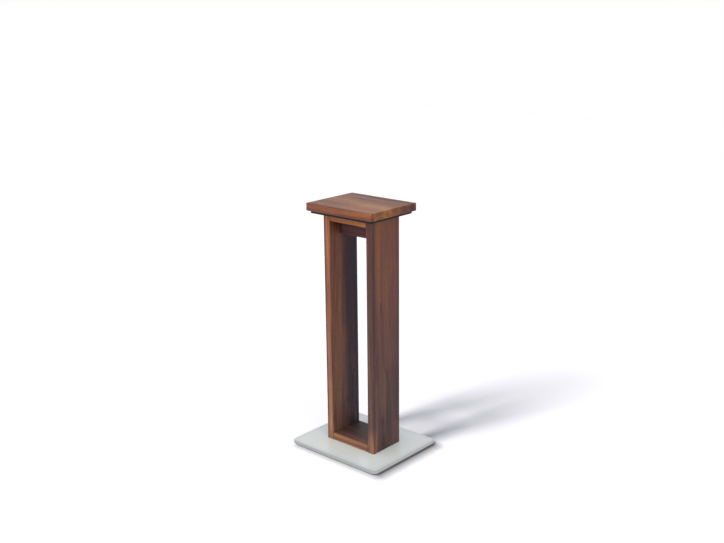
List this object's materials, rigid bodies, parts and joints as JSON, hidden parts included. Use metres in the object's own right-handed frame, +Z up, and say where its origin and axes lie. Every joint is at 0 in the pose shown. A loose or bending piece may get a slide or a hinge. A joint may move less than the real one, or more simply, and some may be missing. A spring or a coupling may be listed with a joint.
{
  "type": "speaker stand",
  "caption": "Walnut frame stand for a bookshelf loudspeaker, with a thin shadow-gap plate under its top board and a pale glass base on rubber feet.",
  "frame": {"origin": "on the floor, under the middle of the stand", "axes": "+Z up; X runs through the open frame, and the front of the stand faces -Y"},
  "size_m": [0.228, 0.268, 0.6],
  "materials": {
    "oiled_walnut": "solid walnut, sanded and oiled, satin",
    "painted_glass": "float glass painted pale grey on its back, polished edges",
    "black_steel": "fine black powder coat",
    "black_rubber": "moulded, matt",
    "adhesive_foam": "double-sided acrylic foam",
    "natural_nylon": "moulded, uncoloured",
    "zinc_steel": "bright zinc plate",
    "blackened_steel": "black oxide",
    "turned_brass": "turned",
    "beech": "fluted beech, unfinished"
  },
  "bodies": {
    "root": {"foot_front_left": "black_rubber", "foot_front_right": "black_rubber", "foot_rear_left": "black_rubber", "foot_rear_right": "black_rubber", "foot_tapes": "adhesive_foam", "glass_base": "painted_glass", "base_bushes": "natural_nylon", "base_bolts": "zinc_steel", "base_inserts": "turned_brass", "bottom_rail": "oiled_walnut", "front_upright": "oiled_walnut", "rear_upright": "oiled_walnut", "top_rail": "oiled_walnut", "stiffener_rail": "oiled_walnut", "bottom_rail_dowels": "beech", "top_rail_dowels": "beech", "stiffener_end_dowels": "beech", "stiffener_top_dowels": "beech", "top_inserts": "turned_brass", "mounting_plate": "black_steel", "plate_screws": "blackened_steel", "board_screws": "blackened_steel", "top_board": "oiled_walnut"}
  },
  "joints": []
}
